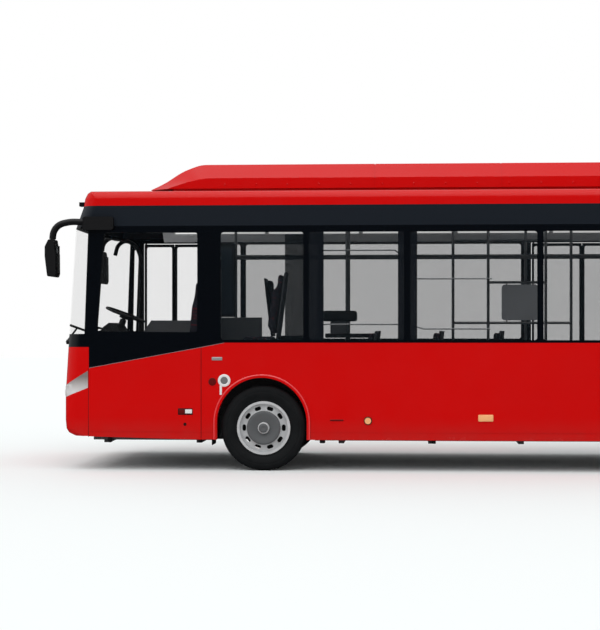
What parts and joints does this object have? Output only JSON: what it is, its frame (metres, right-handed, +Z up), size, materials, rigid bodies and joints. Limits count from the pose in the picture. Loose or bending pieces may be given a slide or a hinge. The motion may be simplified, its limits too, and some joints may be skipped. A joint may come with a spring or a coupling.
{
  "type": "single-deck low-floor city bus",
  "caption": "Single-deck low-floor city bus with a long roof fairing, dark window band, glazed doors that turn inwards, steered front wheels and a rear engine hatch.",
  "frame": {"origin": "on the ground, at the middle of the bounding box over mirrors", "axes": "+Z up, -Y towards the front of the bus, +X towards its left side"},
  "size_m": [2.904, 12.184, 3.503],
  "materials": {
    "red_paint": "gloss",
    "black_panel": "gloss",
    "window_glass": "clear",
    "lamp_lens": "clear",
    "red_lens": "gloss",
    "amber_lens": "gloss",
    "floor_cover": "matt",
    "chassis_black": "satin",
    "wheel_silver": "satin",
    "tyre_rubber": "matt",
    "grey_trim": "matt",
    "seat_fabric": "woven",
    "rail_steel": "brushed",
    "mirror_black": "fine grain",
    "steel": "cast",
    "soft_black": "matt"
  },
  "bodies": {
    "root": {"front_panel": "red_paint", "headlamps": "lamp_lens", "windscreen_frame": "black_panel", "windscreen": "window_glass", "rear_panel": "red_paint", "rear_window": "window_glass", "tail_lamps": "red_lens", "left_lower_side": "red_paint", "right_lower_side": "red_paint", "left_window_frame": "black_panel", "right_window_frame": "black_panel", "left_side_glass": "window_glass", "right_side_glass": "window_glass", "roof_shell": "red_paint", "roof_pod": "red_paint", "floor": "floor_cover", "underframe": "chassis_black", "wheel_boxes": "grey_trim", "front_axle": "chassis_black", "rear_axle": "chassis_black", "drive_motor": "steel", "dashboard": "grey_trim", "driver_seat": "seat_fabric", "cab_partition": "grey_trim", "passenger_seats": "seat_fabric", "handrails": "rail_steel", "ceiling_ducts": "grey_trim", "left_mirror": "mirror_black", "right_mirror": "mirror_black", "wipers": "soft_black", "marker_lamps": "amber_lens"},
    "hatch": {"engine_hatch": "red_paint"},
    "steering_wheel": {"steering_wheel": "soft_black"},
    "left_knuckle": {"left_knuckle": "chassis_black"},
    "right_knuckle": {"right_knuckle": "chassis_black"},
    "front_left_wheel": {"front_left_wheel": "wheel_silver", "front_left_tyre": "tyre_rubber"},
    "front_right_wheel": {"front_right_wheel": "wheel_silver", "front_right_tyre": "tyre_rubber"},
    "rear_left_wheels": {"rear_left_wheels": "wheel_silver", "rear_left_tyres": "tyre_rubber"},
    "rear_right_wheels": {"rear_right_wheels": "wheel_silver", "rear_right_tyres": "tyre_rubber"},
    "front_door_fore": {"front_door_fore_leaf": "black_panel", "front_door_fore_glass": "window_glass"},
    "front_door_aft": {"front_door_aft_leaf": "black_panel", "front_door_aft_glass": "window_glass"},
    "centre_door_fore": {"centre_door_fore_leaf": "black_panel", "centre_door_fore_glass": "window_glass"},
    "centre_door_aft": {"centre_door_aft_leaf": "black_panel", "centre_door_aft_glass": "window_glass"}
  },
  "joints": [
    {"name": "steer_left", "type": "hinge", "parent": "root", "child": "left_knuckle", "pos_m": [0.95, -3.66, 0.4785], "axis": [0, 0, 1], "range_deg": [-40, 40]},
    {"name": "steer_right", "type": "hinge", "parent": "root", "child": "right_knuckle", "pos_m": [-0.95, -3.66, 0.4785], "axis": [0, 0, 1], "range_deg": [-40, 40]},
    {"name": "steering_wheel_turn", "type": "hinge", "parent": "root", "child": "steering_wheel", "pos_m": [0.75, -5.318, 1.755], "axis": [0, 0.3584, 0.9336], "range_deg": [-740, 740]},
    {"name": "front_left_spin", "type": "hinge", "parent": "left_knuckle", "child": "front_left_wheel", "pos_m": [1.1075, -3.66, 0.4785], "axis": [1, 0, 0], "continuous": true},
    {"name": "front_right_spin", "type": "hinge", "parent": "right_knuckle", "child": "front_right_wheel", "pos_m": [-1.1075, -3.66, 0.4785], "axis": [1, 0, 0], "continuous": true},
    {"name": "rear_left_spin", "type": "hinge", "parent": "root", "child": "rear_left_wheels", "pos_m": [1.1075, 2.54, 0.4785], "axis": [1, 0, 0], "continuous": true},
    {"name": "rear_right_spin", "type": "hinge", "parent": "root", "child": "rear_right_wheels", "pos_m": [-1.1075, 2.54, 0.4785], "axis": [1, 0, 0], "continuous": true},
    {"name": "front_door_fore_hinge", "type": "hinge", "parent": "root", "child": "front_door_fore", "pos_m": [-1.239, -5.436, 1.55], "axis": [0, 0, -1], "range_deg": [0, 88]},
    {"name": "front_door_aft_hinge", "type": "hinge", "parent": "root", "child": "front_door_aft", "pos_m": [-1.239, -4.694, 1.55], "axis": [0, 0, 1], "range_deg": [0, 88]},
    {"name": "centre_door_fore_hinge", "type": "hinge", "parent": "root", "child": "centre_door_fore", "pos_m": [-1.239, -0.456, 1.55], "axis": [0, 0, -1], "range_deg": [0, 88]},
    {"name": "centre_door_aft_hinge", "type": "hinge", "parent": "root", "child": "centre_door_aft", "pos_m": [-1.239, 0.77, 1.55], "axis": [0, 0, 1], "range_deg": [0, 88]},
    {"name": "engine_hatch_hinge", "type": "hinge", "parent": "root", "child": "hatch", "pos_m": [0, 6.076, 1.346], "axis": [1, 0, 0], "range_deg": [0, 80]}
  ],
  "couplings": [
    {"joint": "steer_right", "follows": "steer_left", "ratio": 1},
    {"joint": "steering_wheel_turn", "follows": "steer_left", "ratio": 18}
  ]
}
